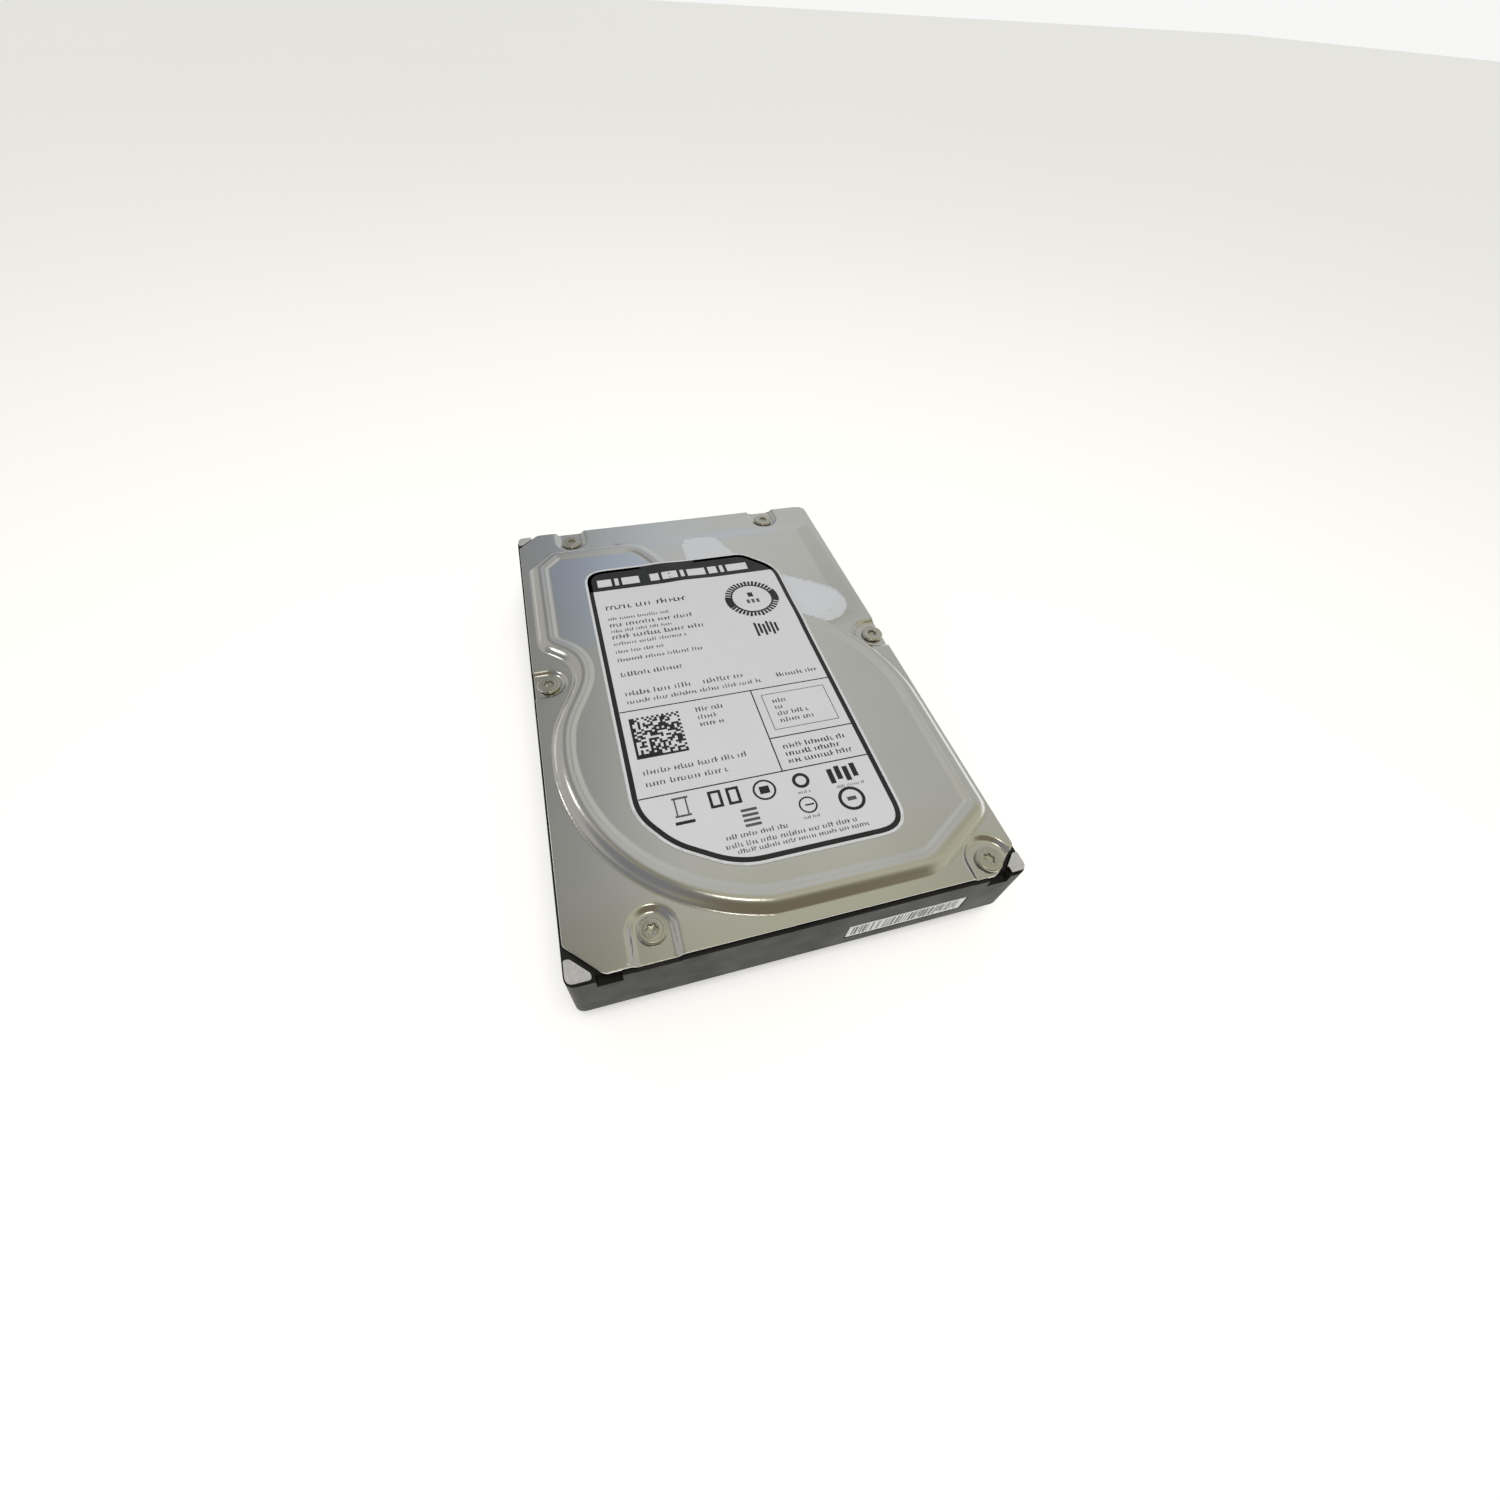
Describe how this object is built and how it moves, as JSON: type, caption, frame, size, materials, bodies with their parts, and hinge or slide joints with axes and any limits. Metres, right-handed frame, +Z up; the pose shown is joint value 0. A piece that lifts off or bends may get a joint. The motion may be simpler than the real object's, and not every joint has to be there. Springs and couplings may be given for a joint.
{
  "type": "hard disk drive",
  "caption": "Flat rectangular 3.5-inch hard disk drive: pressed steel lid on a black casting, circuit board below, serial ATA plug on one end.",
  "frame": {"origin": "middle of the drive's outline, on the plane that the two rails under the casting stand on", "axes": "+X to the right, +Y towards the end with the plug, +Z up through the steel lid"},
  "size_m": [0.1016, 0.147, 0.0261],
  "materials": {
    "black_coat": "satin black electro-coat on die-cast aluminium, bare machined corner pads",
    "cover_steel": "satin pressed steel with a faint grain",
    "gasket_rubber": "matte black elastomer",
    "label_paper": "white printed film with a black border",
    "seal_foil": "pale silvery adhesive foil",
    "screw_steel": "bright plated steel",
    "plain_steel": "ground steel",
    "machined_aluminium": "machined aluminium",
    "copper_winding": "enamelled copper wire",
    "nickel_plate": "nickel plated steel",
    "magnet_nickel": "nickel plated sintered magnet",
    "platter_mirror": "mirror polished disk",
    "polyimide_flex": "amber polyimide film",
    "black_plastic": "moulded black plastic",
    "filter_fabric": "white non-woven filter",
    "board_laminate": "green solder mask over glass laminate",
    "insulator_foam": "dark closed-cell foam sheet",
    "chip_epoxy": "black moulded epoxy",
    "latch_resin": "tan engineering resin"
  },
  "bodies": {
    "chassis": {"base_casting": "black_coat", "top_cover": "cover_steel", "cover_gasket": "gasket_rubber", "cover_screw_1": "screw_steel", "cover_screw_2": "screw_steel", "cover_screw_3": "screw_steel", "cover_screw_4": "screw_steel", "cover_screw_5": "screw_steel", "cover_screw_6": "screw_steel", "product_label": "label_paper", "far_seal": "seal_foil", "right_seal": "seal_foil", "end_barcode_label": "label_paper", "motor_base": "machined_aluminium", "spindle_shaft": "plain_steel", "motor_stator": "copper_winding", "pivot_shaft": "plain_steel", "lower_yoke": "nickel_plate", "lower_magnet": "magnet_nickel", "upper_magnet": "magnet_nickel", "upper_yoke": "nickel_plate", "inner_crash_stop": "gasket_rubber", "outer_crash_stop": "gasket_rubber", "flex_cable": "polyimide_flex", "flex_bracket": "black_plastic", "recirculation_filter": "filter_fabric", "circuit_board": "board_laminate", "board_insulator": "insulator_foam", "sata_connector": "black_plastic", "jumper_block": "black_plastic", "board_screw_1": "screw_steel", "board_screw_2": "screw_steel", "board_screw_3": "screw_steel", "board_screw_4": "screw_steel", "board_screw_5": "screw_steel", "board_screw_6": "screw_steel", "controller_chip": "chip_epoxy", "cache_chip": "chip_epoxy", "motor_driver_chip": "chip_epoxy"},
    "spindle": {"spindle_hub": "machined_aluminium", "platter_1": "platter_mirror", "platter_2": "platter_mirror", "platter_3": "platter_mirror", "platter_4": "platter_mirror", "platter_spacer_1": "machined_aluminium", "platter_spacer_2": "machined_aluminium", "platter_spacer_3": "machined_aluminium", "disk_clamp": "plain_steel"},
    "actuator": {"actuator_block": "machined_aluminium", "pivot_bearing": "plain_steel", "voice_coil": "copper_winding", "head_suspension_1": "plain_steel", "head_suspension_2": "plain_steel", "head_suspension_3": "plain_steel", "head_suspension_4": "plain_steel", "head_suspension_5": "plain_steel", "head_suspension_6": "plain_steel", "head_suspension_7": "plain_steel", "head_suspension_8": "plain_steel"},
    "latch": {"actuator_latch": "latch_resin"}
  },
  "joints": [
    {"name": "spindle_spin", "type": "hinge", "parent": "chassis", "child": "spindle", "pos_m": [0, -0.0218, 0.016], "axis": [0, 0, 1], "continuous": true},
    {"name": "actuator_swing", "type": "hinge", "parent": "chassis", "child": "actuator", "pos_m": [-0.0275, 0.029, 0.016], "axis": [0, 0, -1], "range_deg": [0, 28], "deforming": ["flex_cable"]},
    {"name": "latch_turn", "type": "hinge", "parent": "chassis", "child": "latch", "pos_m": [-0.0015, 0.0555, 0.0148], "axis": [0, 0, 1], "range_deg": [0, 8]}
  ]
}
